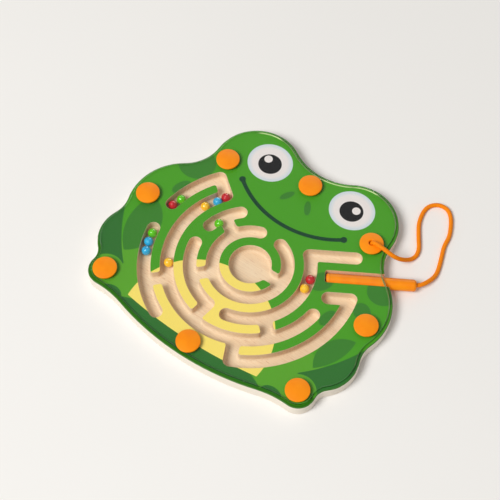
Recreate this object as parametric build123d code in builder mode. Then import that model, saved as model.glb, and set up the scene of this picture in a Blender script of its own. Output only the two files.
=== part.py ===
"""Magnetic maze board in the shape of a frog.

A wooden board with milled channels lies under a clear sheet. Eight round plugs hold the sheet down, and
twelve steel balls roll in the channels. A pen with a magnet in its tip lies in a slot in the board's edge. A
cord ties the pen to one of the plugs.

All lengths are in millimetres. The board lies on the plane z = 0 with the middle of the maze at the origin.
The head points to +Y and the pen lies on the +X side.
"""

import os
from itertools import pairwise
from math import cos, pi, radians, sin, sqrt, tan

from build123d import *

os.makedirs("parts", exist_ok=True)

# Sheet and board
board_thickness = 12.0
channel_floor = 3.0
board_top_round = 1.2
board_base_chamfer = 0.8
cover_thickness = 3.0
cover_inset = 2.8
cover_edge_chamfer = 0.4

# Outline: round lobes on the +X side, each with its centre and radius
brow_x, brow_y, brow_radius = 48.7, 80.3, 38.5
shoulder_x, shoulder_y, shoulder_radius = 74.8, 9.2, 48.5
hip_x, hip_y, hip_radius = 91.6, -34.7, 31.7
foot_x, foot_y, foot_radius = 94.4, -71.2, 14.7
belly_bottom, belly_radius = -98.6, 237.5

# Outline: radii of the hollows between one lobe and the next
crown_hollow_radius = 53.5
cheek_hollow_radius = 34.9
waist_hollow_radius = 24.6
ankle_hollow_radius = 12.8
sole_hollow_radius = 80.7

# Maze: the cutter that mills the channels is as wide as a channel
channel_width = 11.0
pit_radius = 17.7
first_ring_radius = 30.95
ring_pitch = 18.8
brow_pocket_length = 38.0
side_pocket_length = 18.0

# Slot for the pen
pen_angle = 30.0
slot_width = 11.4
slot_depth = 10.6
slot_end_distance = 61.8
slot_offset = -5.9
slot_corner_round = 2.0

# Plugs that hold the sheet
plug_head_radius = 10.0
plug_head_height = 2.4
plug_rim_height = 1.3
plug_rim_round = 0.6
plug_core_radius = 3.7
plug_barb_height = 0.3
plug_barb_pitch = 2.2
plug_tip_chamfer = 0.8
plug_hole_depth = 9.0
plug_hole_clearance = 0.1
plug_cover_clearance = 0.3
plug_end_gap = 0.3
crown_plug_margin = 15.3
cheek_plug_margin = 13.2
cheek_plug_angle = -20.6
side_plug_margin = 14.6
side_plug_angle = -6.2
foot_plug_drop = 0.7
belly_plug_margin = 12.2

# Balls
ball_radius = 4.0
ball_floor_gap = 0.05

# Pen
pen_radius = 5.0
pen_length = 74.25
pen_tip_gap = 0.9
pen_floor_gap = 0.15
pen_tail_round = 2.6
pen_tip_round = 2.0
pen_bore_radius = 3.0
pen_tail_wall = 5.0
pen_cap_thickness = 3.2
pen_cap_spigot = 2.4
magnet_radius = 3.4
magnet_length = 12.0
pen_fit_clearance = 0.1

# Cord and its knots
cord_radius = 1.85
cord_floor_gap = 0.05
cord_hole_clearance = 0.2
cord_bore_radius = 2.2
cord_mouth_round = 1.2
knot_length = 5.2
anchor_knot_radius = 3.5
pen_knot_radius = 2.7
knot_neck_radius = 2.0

board_top = board_thickness
cover_top = board_top + cover_thickness


def around(radius, angle):
    """Point in the XY plane at a radius from the maze's middle and an angle from +X."""
    return Vector(radius * cos(radians(angle)), radius * sin(radians(angle)))


def ring_radius(ring):
    """Radius of a ring channel's centre-line, counted from one at the pit."""
    return first_ring_radius + (ring - 1) * ring_pitch


# Outline
def hollow_centre(first, first_radius, second, second_radius, hollow_radius):
    """Centre of the hollow that touches two lobes on the outer side, the second lobe lying clockwise."""
    span = second - first
    along = (span.length**2 + (first_radius + hollow_radius) ** 2 - (second_radius + hollow_radius) ** 2) / (
        2 * span.length
    )
    across = sqrt((first_radius + hollow_radius) ** 2 - along**2)
    outwards = span.normalized().rotate(Axis.Z, 90)
    return first + span.normalized() * along + outwards * across


def arc_about(centre, start, end):
    """Arc round a centre from one point to another, the short way."""
    radius = (start - centre).length
    middle = centre + ((start - centre) + (end - centre)).normalized() * radius
    return ThreePointArc(start, middle, end)


brow = Vector(brow_x, brow_y)
shoulder = Vector(shoulder_x, shoulder_y)
hip = Vector(hip_x, hip_y)
foot = Vector(foot_x, foot_y)
belly = Vector(0, belly_bottom + belly_radius)
crown = Vector(0, brow_y + sqrt((brow_radius + crown_hollow_radius) ** 2 - brow_x**2))
crown_bottom = crown - Vector(0, crown_hollow_radius)

lobes = [
    (brow, brow_radius),
    (shoulder, shoulder_radius),
    (hip, hip_radius),
    (foot, foot_radius),
    (belly, belly_radius),
]
hollow_radii = [cheek_hollow_radius, waist_hollow_radius, ankle_hollow_radius, sole_hollow_radius]


def draw_outline():
    """Draw the board's closed outline in the line builder that is open."""
    start = crown_bottom
    touch = crown + (brow - crown).normalized() * crown_hollow_radius
    arc_about(crown, start, touch)
    for (lobe, radius), (next_lobe, next_radius), hollow in zip(lobes, lobes[1:], hollow_radii):
        centre = hollow_centre(lobe, radius, next_lobe, next_radius, hollow)
        leave = centre + (lobe - centre).normalized() * hollow
        arrive = centre + (next_lobe - centre).normalized() * hollow
        arc_about(lobe, touch, leave)
        arc_about(centre, leave, arrive)
        touch = arrive
    arc_about(belly, touch, Vector(0, belly_bottom))
    mirror(about=Plane.YZ)


# Places of the plugs, from the lobes that they sit in
cheek_plug = brow + around(brow_radius - cheek_plug_margin, cheek_plug_angle)
side_plug = shoulder + around(shoulder_radius - side_plug_margin, side_plug_angle)
crown_plug = crown_bottom - Vector(0, crown_plug_margin)
foot_plug = foot - Vector(0, foot_plug_drop)
belly_plug = Vector(0, belly_bottom + belly_plug_margin)
plug_places = {
    "crown_plug": crown_plug,
    "left_cheek_plug": Vector(-cheek_plug.X, cheek_plug.Y),
    "cord_plug": cheek_plug,
    "left_side_plug": Vector(-side_plug.X, side_plug.Y),
    "right_side_plug": side_plug,
    "left_foot_plug": Vector(-foot_plug.X, foot_plug.Y),
    "right_foot_plug": foot_plug,
    "belly_plug": belly_plug,
}
plug_barb_radius = plug_core_radius + plug_barb_height
plug_hole_radius = plug_barb_radius + plug_hole_clearance
plug_hole_floor = board_top - plug_hole_depth

# Paths of the cutter: stations of ring and angle, joined by arcs along a ring and by spokes between rings
brow_pocket_angle = 404.4
side_pocket_angle = 372.8
cutter_runs = [
    [(1, 108.6), (1, 430.4)],
    [(2, 133.6), (2, 167.4)],
    [(2, 190.6), (2, 261.2), (3, 261.2)],
    [(2, 281.6), (2, brow_pocket_angle)],
    [(4, 173.3), (4, 141.6), (3, 141.6), (3, 352.2)],
    [(4, 191.7), (4, 244.3)],
    [(3, 294.0), (4, 294.0), (4, side_pocket_angle)],
]
spokes = [(1, 2, 150.5), (1, 2, 226.0), (2, 3, 317.4), (3, 4, 224.5)]
pit_exit_angle = 0.0
brow_pocket = around(brow_pocket_length, pen_angle)
side_pocket = -around(side_pocket_length, pen_angle)
pockets = {(2, brow_pocket_angle): brow_pocket, (4, side_pocket_angle): side_pocket}


def cutter_path(stations):
    """Wire along the middle of one milled run, with its straight pocket where it has one."""
    with BuildLine(mode=Mode.PRIVATE) as path:
        for (ring, angle), (next_ring, next_angle) in pairwise(stations):
            if ring == next_ring:
                CenterArc((0, 0), ring_radius(ring), angle, next_angle - angle)
            else:
                Line(around(ring_radius(ring), angle), around(ring_radius(next_ring), next_angle))
        if stations[-1] in pockets:
            last = around(ring_radius(stations[-1][0]), stations[-1][1])
            Line(last, last + pockets[stations[-1]])
    return path.wire()


def mill_spoke(inner_radius, outer_radius, angle):
    """Draw a straight channel between two radii in the sketch that is open."""
    with Locations(Location(around((inner_radius + outer_radius) / 2, angle), angle)):
        Rectangle(outer_radius - inner_radius, channel_width)


# Plane of the pen: x along the pen from its tip's end of the slot, y upwards
pen_way = around(1, pen_angle)
pen_side = around(1, pen_angle + 90)
slot_end = pen_way * slot_end_distance + pen_side * slot_offset
slot_floor = board_top - slot_depth
slot_length = (shoulder_x + shoulder_radius) / cos(radians(pen_angle)) - slot_end_distance
pen_start = slot_end + pen_way * pen_tip_gap + Vector(0, 0, slot_floor + pen_floor_gap + pen_radius)
pen_plane = Plane(origin=pen_start, x_dir=pen_way, z_dir=-pen_side)
pen_axis = Axis(pen_start, pen_way)

# Board: outline, eased edges, milled channels, pit, slot and blind holes for the plugs
with BuildPart() as base_board:
    with BuildSketch():
        with BuildLine():
            draw_outline()
        make_face()
    extrude(amount=board_thickness)
    fillet(base_board.edges().group_by(Axis.Z)[-1], board_top_round)
    chamfer(base_board.edges().group_by(Axis.Z)[0], board_base_chamfer)
    with BuildSketch(Plane.XY.offset(board_top)):
        Circle(pit_radius)
        for stations in cutter_runs:
            SlotArc(cutter_path(stations), channel_width)
        for inner, outer, angle in spokes:
            mill_spoke(ring_radius(inner), ring_radius(outer), angle)
        mill_spoke(0, ring_radius(1), pit_exit_angle)
    extrude(amount=channel_floor - board_top, mode=Mode.SUBTRACT)
    with BuildSketch(Plane(origin=slot_end + Vector(0, 0, board_top), x_dir=pen_way)) as slot:
        Rectangle(slot_length, slot_width, align=(Align.MIN, Align.CENTER))
        fillet(slot.vertices().group_by(Axis.X)[0], slot_corner_round)
    extrude(amount=-slot_depth, mode=Mode.SUBTRACT)
    with BuildSketch(Plane.XY.offset(board_top)):
        with Locations(*plug_places.values()):
            Circle(plug_hole_radius)
    extrude(amount=-plug_hole_depth, mode=Mode.SUBTRACT)
base_board.part.label = "base_board"
export_step(base_board.part, "parts/base_board.step")

# Clear sheet: the outline drawn in, with a clearance hole for each plug
with BuildPart() as cover_sheet:
    with BuildSketch(Plane.XY.offset(board_top)):
        with BuildLine():
            draw_outline()
        make_face()
        offset(amount=-cover_inset, mode=Mode.REPLACE)
        with Locations(*plug_places.values()):
            Circle(plug_barb_radius + plug_cover_clearance, mode=Mode.SUBTRACT)
    extrude(amount=cover_thickness)
    top_face = cover_sheet.faces().sort_by(Axis.Z)[-1]
    chamfer(top_face.outer_wire().edges(), cover_edge_chamfer)
cover_sheet.part.label = "cover_sheet"
export_step(cover_sheet.part, "parts/cover_sheet.step")


def plug_profile(shank_length):
    """Draw half a plug, from its axis outwards, in the line builder that is open."""
    dome = TangentArc((0, plug_head_height), (plug_head_radius, plug_rim_height), tangent=(1, 0))
    barb_count = int((shank_length - plug_tip_chamfer - cover_thickness) / plug_barb_pitch)
    first_barb = shank_length - plug_tip_chamfer - barb_count * plug_barb_pitch
    shank = [(plug_head_radius, 0), (plug_core_radius, 0), (plug_core_radius, -first_barb)]
    for barb in range(barb_count):
        depth = first_barb + barb * plug_barb_pitch
        shank += [(plug_barb_radius, -depth), (plug_core_radius, -depth - plug_barb_pitch)]
    shank += [(plug_core_radius - plug_tip_chamfer, -shank_length), (0, -shank_length)]
    Polyline(dome @ 1, *shank, (0, plug_head_height))


# Plugs: domed heads on the sheet, barbed shanks in the board
full_shank = cover_thickness + plug_hole_depth - plug_end_gap
cord_shank = full_shank - knot_length - plug_end_gap
for name, place in plug_places.items():
    holds_cord = name == "cord_plug"
    axis_foot = place + Vector(0, 0, cover_top)
    with BuildPart() as plug:
        with BuildSketch(Plane(origin=axis_foot, x_dir=(1, 0, 0), z_dir=(0, -1, 0))) as half_plug:
            with BuildLine():
                plug_profile(cord_shank if holds_cord else full_shank)
            make_face()
            rim = half_plug.vertices().group_by(Axis.X)[-1].sort_by(Axis.Y)[-1]
            fillet(rim, plug_rim_round)
        revolve(axis=Axis(axis_foot, (0, 0, 1)))
        if holds_cord:
            with BuildSketch(Plane.XY.offset(cover_top + plug_head_height)):
                with Locations(place):
                    Circle(cord_bore_radius)
            extrude(amount=-plug_head_height - cord_shank, mode=Mode.SUBTRACT)
            mouth = plug.edges().filter_by(GeomType.CIRCLE).group_by(Axis.Z)[-1]
            fillet(mouth, cord_mouth_round)
    plug.part.label = name
    export_step(plug.part, f"parts/{name}.step")

# Balls: resting in the ring channels, each with its radius and angle about the maze's middle
ball_places = {
    "ball_red_1": (88.1, 172.4),
    "ball_green_1": (87.0, 166.6),
    "ball_red_2": (69.7, 141.8),
    "ball_blue_1": (68.2, 148.4),
    "ball_yellow_1": (69.1, 157.8),
    "ball_yellow_2": (67.4, 211.2),
    "ball_green_2": (48.6, 157.1),
    "ball_green_3": (87.5, 193.2),
    "ball_blue_2": (87.7, 198.9),
    "ball_blue_3": (87.4, 204.7),
    "ball_red_3": (50.6, 21.2),
    "ball_yellow_3": (48.7, 10.4),
}
ball_height = channel_floor + ball_floor_gap + ball_radius
for name, (radius, angle) in ball_places.items():
    with BuildPart() as ball:
        with Locations(around(radius, angle) + Vector(0, 0, ball_height)):
            Sphere(ball_radius)
    ball.part.label = name
    export_step(ball.part, f"parts/{name}.step")

# Pen barrel: bored from the tip, with a wider pocket for the magnet and a small hole for the cord
barrel_start = pen_cap_thickness + pen_fit_clearance
pocket_radius = magnet_radius + pen_fit_clearance
pocket_end = pen_cap_thickness + pen_cap_spigot + 2 * pen_fit_clearance + magnet_length
bore_end = pen_length - pen_tail_wall
tail_hole_radius = cord_radius + cord_hole_clearance
with BuildPart() as pen_barrel:
    with BuildSketch(pen_plane):
        with BuildLine():
            tail_arc = JernArc((pen_length - pen_tail_round, pen_radius), (1, 0), pen_tail_round, -90)
            Polyline(
                tail_arc @ 1,
                (pen_length, tail_hole_radius),
                (bore_end, tail_hole_radius),
                (bore_end, pen_bore_radius),
                (pocket_end, pen_bore_radius),
                (pocket_end, pocket_radius),
                (barrel_start, pocket_radius),
                (barrel_start, pen_radius),
                tail_arc @ 0,
            )
        make_face()
    revolve(axis=pen_axis)
pen_barrel.part.label = "pen_barrel"
export_step(pen_barrel.part, "parts/pen_barrel.step")

# Rounded cap that closes the tip, with a spigot in the barrel
with BuildPart() as pen_tip_cap:
    with BuildSketch(pen_plane):
        with BuildLine():
            tip_arc = JernArc((0, pen_radius - pen_tip_round), (0, 1), pen_tip_round, -90)
            Polyline(
                tip_arc @ 1,
                (pen_cap_thickness, pen_radius),
                (pen_cap_thickness, magnet_radius),
                (pen_cap_thickness + pen_cap_spigot, magnet_radius),
                (pen_cap_thickness + pen_cap_spigot, 0),
                (0, 0),
                tip_arc @ 0,
            )
        make_face()
    revolve(axis=pen_axis)
pen_tip_cap.part.label = "pen_tip_cap"
export_step(pen_tip_cap.part, "parts/pen_tip_cap.step")

# Magnet between the cap's spigot and the shoulder of the bore
magnet_start = pen_cap_thickness + pen_cap_spigot + pen_fit_clearance
with BuildPart() as pen_magnet:
    with BuildSketch(Plane(origin=pen_start + pen_way * magnet_start, x_dir=pen_side, z_dir=pen_way)):
        Circle(magnet_radius)
    extrude(amount=magnet_length)
pen_magnet.part.label = "pen_magnet"
export_step(pen_magnet.part, "parts/pen_magnet.step")


def knot_profile(radius):
    """Draw half a knot along x, flat where it meets the cord and round at its waist."""
    middle = (-knot_length / 2, radius)
    bulge = ThreePointArc((0, knot_neck_radius), middle, (-knot_length, knot_neck_radius))
    Polyline(bulge @ 1, (-knot_length, 0), (0, 0), bulge @ 0)


# Knots: one below the cord plug, one behind the wall of the pen's tail
anchor_top = plug_hole_floor + plug_end_gap + knot_length
anchor_foot = cheek_plug + Vector(0, 0, anchor_top)
with BuildPart() as anchor_knot:
    with BuildSketch(Plane(origin=anchor_foot, x_dir=(0, 0, 1), z_dir=(1, 0, 0))):
        with BuildLine():
            knot_profile(anchor_knot_radius)
        make_face()
    revolve(axis=Axis(anchor_foot, (0, 0, 1)))
anchor_knot.part.label = "anchor_knot"
export_step(anchor_knot.part, "parts/anchor_knot.step")

pen_knot_face = pen_start + pen_way * (bore_end - plug_end_gap)
with BuildPart() as pen_knot:
    with BuildSketch(Plane(origin=pen_knot_face, x_dir=pen_way, z_dir=-pen_side)):
        with BuildLine():
            knot_profile(pen_knot_radius)
        make_face()
    revolve(axis=Axis(pen_knot_face, pen_way))
pen_knot.part.label = "pen_knot"
export_step(pen_knot.part, "parts/pen_knot.step")

# Cord: straight runs joined by tangent arcs, from the anchor knot over the board's edge and round to the pen
bend_reach_share = 0.45
cord_tail_reach = 2.5
cord_rest_height = cord_radius + cord_floor_gap
cord_bridge = [(75.2, 71.2, 20.0), (84.6, 70.8, 19.3), (96.8, 71.3, 14.6)]
cord_floor_points = [
    (104.7, 83.4),
    (106.7, 93.6),
    (96.9, 108.4),
    (90.4, 120.0),
    (88.3, 135.8),
    (97.0, 144.4),
    (109.1, 142.4),
    (119.5, 122.8),
    (120.3, 110.7),
    (124.4, 99.8),
    (129.2, 84.5),
]
cord_rise = (127.9, 74.8, 4.6)
cord_route = [
    anchor_foot,
    cheek_plug + Vector(0, 0, cover_top + plug_head_height),
    *[Vector(*point) for point in cord_bridge],
    *[Vector(*point, cord_rest_height) for point in cord_floor_points],
    Vector(*cord_rise),
    pen_start + pen_way * (pen_length + cord_tail_reach),
    pen_knot_face,
]


def bend_radius(before, corner, after):
    """Radius of the arc at a corner, as large as the two runs allow."""
    half_turn = radians((corner - before).get_angle(after - corner)) / 2
    shorter = min((corner - before).length, (after - corner).length)
    return bend_reach_share * shorter / tan(half_turn)


bend_radii = [bend_radius(*corner) for corner in zip(cord_route, cord_route[1:], cord_route[2:])]
with BuildPart() as cord:
    with BuildLine() as cord_line:
        FilletPolyline(*cord_route, radius=bend_radii)
    cord_path = cord_line.wire()
    with BuildSketch(Plane(origin=cord_path @ 0, z_dir=cord_path % 0)):
        Circle(cord_radius)
    sweep(path=cord_path)
cord.part.label = "cord"
export_step(cord.part, "parts/cord.step")

cylinder_volume = pi * cord_radius**2 * cord_path.length
print("cord length", round(cord_path.length, 1))
print("cord volume over section times length", round(cord.part.volume / cylinder_volume, 4))
print("cord radii", [round(radius, 1) for radius in bend_radii])
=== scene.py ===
"""Looks of the magnetic maze board.

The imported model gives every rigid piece. This script softens the milled edges and dresses the
pieces: the frog print on the board, the bare wood in its channels, the clear sheet, the plugs, the
enamelled balls and the pen. It models the braided cord along its route, and adds a pale studio and
a camera.

Lengths in the classes are in millimetres, as on the board: +X to the pen's side, +Y to the frog's
head and +Z up. Patterns are given in cells per millimetre along each axis.
"""

import logging
import math
from dataclasses import dataclass
from enum import Enum
from itertools import pairwise
from typing import Any, Iterable, Sequence, Union

import bpy
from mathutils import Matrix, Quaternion, Vector


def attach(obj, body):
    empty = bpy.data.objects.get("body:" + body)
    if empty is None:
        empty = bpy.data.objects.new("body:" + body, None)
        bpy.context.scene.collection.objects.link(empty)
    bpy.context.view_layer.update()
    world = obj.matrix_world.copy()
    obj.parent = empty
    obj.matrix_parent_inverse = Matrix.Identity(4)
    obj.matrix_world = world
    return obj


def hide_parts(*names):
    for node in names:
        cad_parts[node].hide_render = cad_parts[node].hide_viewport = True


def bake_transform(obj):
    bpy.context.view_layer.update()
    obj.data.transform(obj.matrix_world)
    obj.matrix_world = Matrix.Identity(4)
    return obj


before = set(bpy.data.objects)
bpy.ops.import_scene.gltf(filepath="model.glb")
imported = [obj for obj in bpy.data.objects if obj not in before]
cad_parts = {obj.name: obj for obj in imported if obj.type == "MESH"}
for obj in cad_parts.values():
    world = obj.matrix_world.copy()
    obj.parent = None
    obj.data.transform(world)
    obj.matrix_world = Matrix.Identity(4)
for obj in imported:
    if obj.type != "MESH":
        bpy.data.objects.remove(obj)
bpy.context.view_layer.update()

MM = 0.001
MERGE_REACH = 1e-6
FLAT_ANGLE = 0.5
LEVEL_REACH = 0.01

# The curve from a display's colours to linear ones: a straight toe and then a power
TOE_END = 0.04045
TOE_SLOPE = 12.92
CURVE_LIFT = 0.055
CURVE_POWER = 2.4

# Sockets of a Mix node that blends colours
MIX_SHARE, MIX_FIRST, MIX_SECOND = 0, 6, 7
MIX_RESULT = 2

log = logging.getLogger("maze_board")

Rgba = tuple[float, float, float, float]
Cells = tuple[float, float, float]
Step = tuple[float, float]
Edge = tuple[int, Vector, Vector]
Operand = Union["Value", float, int]


def paint(red: int, green: int, blue: int) -> Rgba:
    """Turn an 8-bit display colour into the linear colour that a shader takes.

    Args:
        red: Red from 0 to 255.
        green: Green from 0 to 255.
        blue: Blue from 0 to 255.

    Returns:
        The linear colour with full alpha.
    """
    linear = []
    for channel in (red, green, blue):
        share = channel / 255
        if share <= TOE_END:
            linear.append(share / TOE_SLOPE)
        else:
            linear.append(((share + CURVE_LIFT) / (1 + CURVE_LIFT)) ** CURVE_POWER)
    return (*linear, 1.0)


@dataclass(frozen=True)
class Value:
    """A number, vector or colour in a shader, which Python operators combine."""

    shader: "Shader"
    socket: bpy.types.NodeSocket

    def __add__(self, other: Operand) -> "Value":
        """Add."""
        return self.shader.math("ADD", self, other)

    def __radd__(self, other: Operand) -> "Value":
        """Add from the right."""
        return self.shader.math("ADD", other, self)

    def __sub__(self, other: Operand) -> "Value":
        """Subtract."""
        return self.shader.math("SUBTRACT", self, other)

    def __rsub__(self, other: Operand) -> "Value":
        """Subtract from the right."""
        return self.shader.math("SUBTRACT", other, self)

    def __mul__(self, other: Operand) -> "Value":
        """Multiply."""
        return self.shader.math("MULTIPLY", self, other)

    def __rmul__(self, other: Operand) -> "Value":
        """Multiply from the right."""
        return self.shader.math("MULTIPLY", other, self)

    def __neg__(self) -> "Value":
        """Change the sign."""
        return self.shader.math("MULTIPLY", self, -1.0)

    def __abs__(self) -> "Value":
        """Drop the sign."""
        return self.shader.math("ABSOLUTE", self)

    def __or__(self, other: Operand) -> "Value":
        """Take the larger, which joins two masks."""
        return self.shader.math("MAXIMUM", self, other)

    def __and__(self, other: Operand) -> "Value":
        """Take the smaller, which crosses two masks."""
        return self.shader.math("MINIMUM", self, other)

    def root(self) -> "Value":
        """Take the square root."""
        return self.shader.math("SQRT", self)

    def sine(self) -> "Value":
        """Take the sine of an angle in radians."""
        return self.shader.math("SINE", self)

    def rises(self, low: float, high: float) -> "Value":
        """Step smoothly from 0 to 1.

        Args:
            low: Where the step starts.
            high: Where the step ends.

        Returns:
            The step, from 0 at low to 1 at high.
        """
        settings = {"interpolation_type": "SMOOTHSTEP"}
        links = {"Value": self, "From Min": low, "From Max": high}
        return self.shader.node("ShaderNodeMapRange", settings, links)["Result"]


@dataclass(frozen=True)
class Made:
    """A node that was added, whose outputs are read by name or place."""

    shader: "Shader"
    node: bpy.types.Node

    def __getitem__(self, output: str | int) -> Value:
        """Give one of the node's outputs as a value."""
        return Value(self.shader, self.node.outputs[output])


class Shader:
    """A material under construction."""

    def __init__(self, name: str) -> None:
        """Start a material with an empty node tree.

        Args:
            name: The material's name.
        """
        self.material = bpy.data.materials.new(name)
        self.material.use_nodes = True
        self.tree = self.material.node_tree
        self.tree.nodes.clear()

    def node(
        self,
        kind: str,
        settings: dict[str, Any] | None = None,
        links: dict[str | int, Any] | None = None,
    ) -> Made:
        """Add a node.

        Args:
            kind: The node's type.
            settings: Properties of the node, set before its sockets.
            links: What each input takes: a value of this shader, or a constant.

        Returns:
            The node, ready to be read.
        """
        made = self.tree.nodes.new(kind)
        for name, setting in (settings or {}).items():
            setattr(made, name, setting)
        for name, source in (links or {}).items():
            if isinstance(source, Value):
                self.tree.links.new(source.socket, made.inputs[name])
            else:
                made.inputs[name].default_value = source
        return Made(self, made)

    def math(self, operation: str, *operands: Operand, clamp: bool = False) -> Value:
        """Combine values with one Math node."""
        settings = {"operation": operation, "use_clamp": clamp}
        return self.node("ShaderNodeMath", settings, dict(enumerate(operands)))[0]

    def place(self) -> tuple[Value, Value, Value]:
        """Give the Object coordinates in millimetres, as x, y and z."""
        parts = self.node("ShaderNodeSeparateXYZ", links={0: self.object_point()})
        return parts["X"] * (1 / MM), parts["Y"] * (1 / MM), parts["Z"] * (1 / MM)

    def object_point(self) -> Value:
        """Give the Object coordinates in metres."""
        return self.node("ShaderNodeTexCoord")["Object"]

    def facing(self, axis: str = "Z") -> Value:
        """Give one part of the piece's own normal."""
        normal = self.node("ShaderNodeTexCoord")["Normal"]
        return self.node("ShaderNodeSeparateXYZ", links={0: normal})[axis]

    def slant(self) -> Value:
        """Give 0 where the surface is seen straight on, and 1 where it is seen from the side."""
        return self.node("ShaderNodeLayerWeight", None, {"Blend": 0.5})["Facing"]

    def turned_to(self, angle: float) -> Value:
        """Give how squarely the mesh's outward direction points to an angle about Z.

        Args:
            angle: The angle in degrees from +X.

        Returns:
            The cosine between the two directions.
        """
        outward = self.node("ShaderNodeAttribute", {"attribute_name": "outward"})["Vector"]
        parts = self.node("ShaderNodeSeparateXYZ", links={0: outward})
        turn = math.radians(angle)
        return parts["X"] * math.cos(turn) + parts["Y"] * math.sin(turn)

    def stretched(self, cells: Cells) -> Value:
        """Scale the Object coordinates for a pattern.

        Args:
            cells: Cells per millimetre along each axis.

        Returns:
            The scaled coordinates.
        """
        scale = tuple(count / MM for count in cells)
        links = {"Vector": self.object_point(), "Scale": scale}
        return self.node("ShaderNodeMapping", {"vector_type": "POINT"}, links)["Vector"]

    def noise(self, cells: Cells, detail: float = 2.0, roughness: float = 0.5) -> Value:
        """Give smooth noise from 0 to 1 with a mean near a half.

        Args:
            cells: Cells per millimetre along each axis.
            detail: How many finer layers are added.
            roughness: How strong the finer layers are.

        Returns:
            The noise.
        """
        where = self.stretched(cells)
        links = {"Vector": where, "Scale": 1.0, "Detail": detail, "Roughness": roughness}
        return self.node("ShaderNodeTexNoise", None, links)[0]

    def mix(self, share: Operand, first: Value | Rgba, second: Value | Rgba) -> Value:
        """Blend two colours.

        Args:
            share: The second colour's share, from 0 to 1.
            first: The first colour.
            second: The second colour.

        Returns:
            The blended colour.
        """
        settings = {"data_type": "RGBA", "clamp_factor": True}
        links = {MIX_SHARE: share, MIX_FIRST: first, MIX_SECOND: second}
        return self.node("ShaderNodeMix", settings, links)[MIX_RESULT]

    def shade(self, colour: Value | Rgba, strength: Value) -> Value:
        """Multiply a colour by a number that is near one.

        Args:
            colour: The colour.
            strength: The number.

        Returns:
            The darker or lighter colour.
        """
        grey = self.node("ShaderNodeCombineXYZ", links={0: strength, 1: strength, 2: strength})[0]
        settings = {"data_type": "RGBA", "blend_type": "MULTIPLY"}
        links = {MIX_SHARE: 1.0, MIX_FIRST: colour, MIX_SECOND: grey}
        return self.node("ShaderNodeMix", settings, links)[MIX_RESULT]

    def bump(self, height: Value, distance: float) -> Value:
        """Turn a height from 0 to 1 into a normal, for a relief of a distance in millimetres."""
        links = {"Height": height, "Distance": distance * MM, "Strength": 1.0}
        return self.node("ShaderNodeBump", None, links)["Normal"]

    def plastic(self, links: dict[str | int, Any]) -> Value:
        """Add a Principled shader."""
        return self.node("ShaderNodeBsdfPrincipled", None, links)["BSDF"]

    def finish(self, surface: Value) -> bpy.types.Material:
        """Show a shader and return the material."""
        self.node("ShaderNodeOutputMaterial", None, {"Surface": surface})
        return self.material


@dataclass(frozen=True)
class Spot:
    """An ellipse of the print, placed in millimetres on the board's top and turned in degrees."""

    x: float
    y: float
    half_length: float
    half_width: float
    tilt: float = 0.0

    def distance(self, x: Value, y: Value) -> Value:
        """Give about how far a point lies outside the ellipse.

        Args:
            x: The point's x in millimetres.
            y: The point's y in millimetres.

        Returns:
            The distance in millimetres, which is negative inside.
        """
        along, across = x - self.x, y - self.y
        if self.tilt:
            turn = math.radians(self.tilt)
            along, across = (
                along * math.cos(turn) + across * math.sin(turn),
                across * math.cos(turn) - along * math.sin(turn),
            )
        along, across = along * (1 / self.half_length), across * (1 / self.half_width)
        reach = (along * along + across * across).root()
        return (reach - 1.0) * min(self.half_length, self.half_width)


@dataclass(frozen=True)
class Wood:
    """Pale close-grained wood with its grain along X."""

    light: Rgba = paint(244, 224, 192)
    dark: Rgba = paint(226, 197, 161)
    fleck: Rgba = paint(196, 152, 116)
    end_grain_and_shade: Rgba = paint(196, 150, 118)
    band_cells: Cells = (0.006, 0.07, 0.12)
    band_step: Step = (0.35, 0.65)
    band_share: float = 0.4
    fibre_cells: Cells = (0.05, 1.3, 1.3)
    fibre_step: Step = (0.3, 0.7)
    fibre_share: float = 0.6
    fleck_cells: Cells = (0.14, 1.8, 1.8)
    fleck_step: Step = (0.64, 0.74)
    fleck_share: float = 0.6
    pore_cells: Cells = (1.6, 1.6, 0.35)
    pore_step: Step = (0.4, 0.7)
    pore_share: float = 0.5
    end_step: Step = (0.55, 0.95)
    end_grain_and_shade_share: float = 0.2
    nap_cells: Cells = (0.12, 2.4, 2.4)

    def colour(self, shader: Shader) -> Value:
        """Mix broad bands, fine fibres, a few short flecks and darker end grain.

        The end grain's darkening on walls that face along X is also painted shade.

        Args:
            shader: The material under construction.

        Returns:
            The wood's colour.
        """
        bands = shader.noise(self.band_cells).rises(*self.band_step)
        fibres = shader.noise(self.fibre_cells, detail=4.0, roughness=0.6).rises(*self.fibre_step)
        flecks = shader.noise(self.fleck_cells, detail=1.0).rises(*self.fleck_step)
        pores = shader.noise(self.pore_cells, detail=3.0).rises(*self.pore_step)
        share = bands * self.band_share + fibres * self.fibre_share
        plain = shader.mix(share, self.light, self.dark)
        along = shader.mix(flecks * self.fleck_share, plain, self.fleck)
        # End grain and painted shade: walls that face along X are darkened
        cut_across = abs(shader.facing("X")).rises(*self.end_step)
        darkening = cut_across * (pores * self.pore_share + self.end_grain_and_shade_share)
        return shader.mix(darkening, along, self.end_grain_and_shade)

    def relief(self, shader: Shader) -> Value:
        """Give the height of the fibres, from 0 to 1."""
        return shader.noise(self.nap_cells, detail=3.0, roughness=0.7)


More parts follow.
